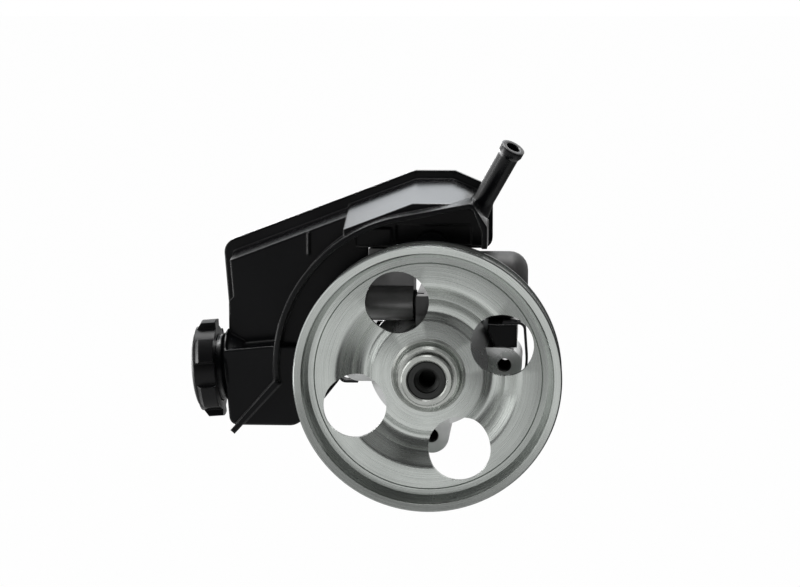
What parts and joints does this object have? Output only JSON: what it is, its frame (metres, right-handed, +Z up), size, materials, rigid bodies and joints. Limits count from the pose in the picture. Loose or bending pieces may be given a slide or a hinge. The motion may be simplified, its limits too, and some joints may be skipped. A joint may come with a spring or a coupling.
{
  "type": "power steering pump",
  "caption": "Belt-driven vane pump for power steering, with a pressed pulley, a die-cast body and a black moulded fluid reservoir wrapped round it.",
  "frame": {"origin": "on the shaft axis, in the plane of the ears' front faces", "axes": "+Z up, +Y from the pulley towards the pump's rear, +X to the right as seen from the pulley"},
  "size_m": [0.1792, 0.105, 0.1711],
  "materials": {
    "zinc_plate": "satin",
    "steel": "satin",
    "cast_aluminium": "matte",
    "dark_metal": "satin",
    "black_plastic": "gloss",
    "spring_steel": "satin",
    "rubber": "matte",
    "nylon": "matte"
  },
  "bodies": {
    "base": {"pump_housing": "cast_aluminium", "bearing_outer_race": "steel", "bearing_circlip": "spring_steel", "shaft_seal": "rubber", "wear_plate": "steel", "cam_ring": "steel", "pressure_plate": "steel", "plate_spring": "spring_steel", "dowel_pins": "steel", "rear_cover": "steel", "cover_seal": "rubber", "cover_ring": "spring_steel", "valve_housing": "dark_metal", "valve_spring": "spring_steel", "valve_seal": "rubber", "suction_elbow": "dark_metal", "suction_seals": "rubber", "reservoir_front": "black_plastic", "reservoir_rear": "black_plastic", "strainer": "nylon", "reservoir_clips": "spring_steel"},
    "rotating": {"pulley": "zinc_plate", "pulley_hub": "zinc_plate", "pump_shaft": "steel", "bearing_inner_race": "steel", "rotor": "steel", "vanes": "steel", "rotor_clip": "spring_steel"},
    "ball_train": {"bearing_balls": "steel", "bearing_cage": "nylon"},
    "spool": {"flow_spool": "steel"},
    "cap_thread": {"cap_seal": "rubber"},
    "cap": {"filler_cap": "black_plastic"}
  },
  "joints": [
    {"name": "pulley_spin", "type": "hinge", "parent": "base", "child": "rotating", "pos_m": [0, 0, 0], "axis": [0, 1, 0], "continuous": true},
    {"name": "ball_train_spin", "type": "hinge", "parent": "base", "child": "ball_train", "pos_m": [0, 0, 0], "axis": [0, 1, 0], "continuous": true},
    {"name": "spool_slide", "type": "slide", "parent": "base", "child": "spool", "axis": [1, 0, 0], "range_m": [0, 0.006], "stiffness_N_per_m": 3000, "deforming": ["valve_spring"]},
    {"name": "cap_lift", "type": "slide", "parent": "base", "child": "cap_thread", "axis": [-0.9969, 0, -0.0785], "range_m": [0, 0.0061]},
    {"name": "cap_turn", "type": "hinge", "parent": "cap_thread", "child": "cap", "pos_m": [-0.09977, 0.005, -0.0029], "axis": [-0.9969, 0, -0.0785], "range_deg": [0, 540]}
  ],
  "couplings": [
    {"joint": "ball_train_spin", "follows": "pulley_spin", "ratio": 0.4094},
    {"joint": "cap_lift", "follows": "cap_turn", "m_per_rad": 0.000637}
  ]
}
